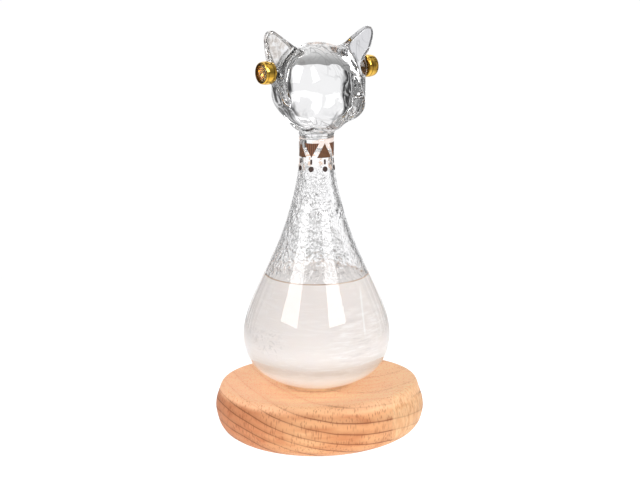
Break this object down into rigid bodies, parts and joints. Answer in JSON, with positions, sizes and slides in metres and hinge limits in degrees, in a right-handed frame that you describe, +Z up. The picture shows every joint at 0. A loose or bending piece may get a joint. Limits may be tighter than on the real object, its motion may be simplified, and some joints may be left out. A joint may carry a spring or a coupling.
{
  "type": "storm glass",
  "caption": "Sealed drop-shaped storm glass with a solid glass cat head, gold and amber earrings and a printed collar, resting in a dished wooden base.",
  "frame": {"origin": "on the flat underside of the base pad, where the vertical axis of the glass meets it", "axes": "+Z up along the axis of the glass, +X along the long side of the wooden base, -Y to the front"},
  "size_m": [0.1068, 0.0962, 0.2123],
  "materials": {
    "wood": "fine sanded, oiled",
    "pad": "felt",
    "liquid": "milky liquid",
    "crystals": "white crystal",
    "clear_glass": "polished",
    "clear_resin": "polished",
    "plug_rubber": "matt",
    "print": "fired copper-brown print",
    "gold": "polished gold plate",
    "amber_stone": "cut and polished"
  },
  "bodies": {
    "base": {"wooden_base": "wood", "base_pad": "pad"},
    "contents": {"storm_liquid": "liquid", "settled_crystals": "crystals", "feather_crystals": "crystals"},
    "bottle": {"glass_vessel": "clear_glass", "fill_plug": "plug_rubber", "plug_seal": "clear_resin", "collar_upright_triangles": "print", "collar_inverted_triangles": "print", "collar_dashes": "print", "collar_dots": "print", "cat_head": "clear_glass", "left_ear": "clear_glass", "right_ear": "clear_glass", "left_earring_cup": "gold", "right_earring_cup": "gold", "left_earring_gem": "amber_stone", "right_earring_gem": "amber_stone", "left_earring_bond": "clear_resin", "right_earring_bond": "clear_resin"}
  },
  "joints": [
    {"name": "bottle_lift", "type": "slide", "parent": "base", "child": "contents", "axis": [0, 0, 1], "range_m": [0, 0.08]},
    {"name": "bottle_turn", "type": "hinge", "parent": "contents", "child": "bottle", "pos_m": [0, 0, 0.06], "axis": [0, 0, 1], "continuous": true}
  ]
}
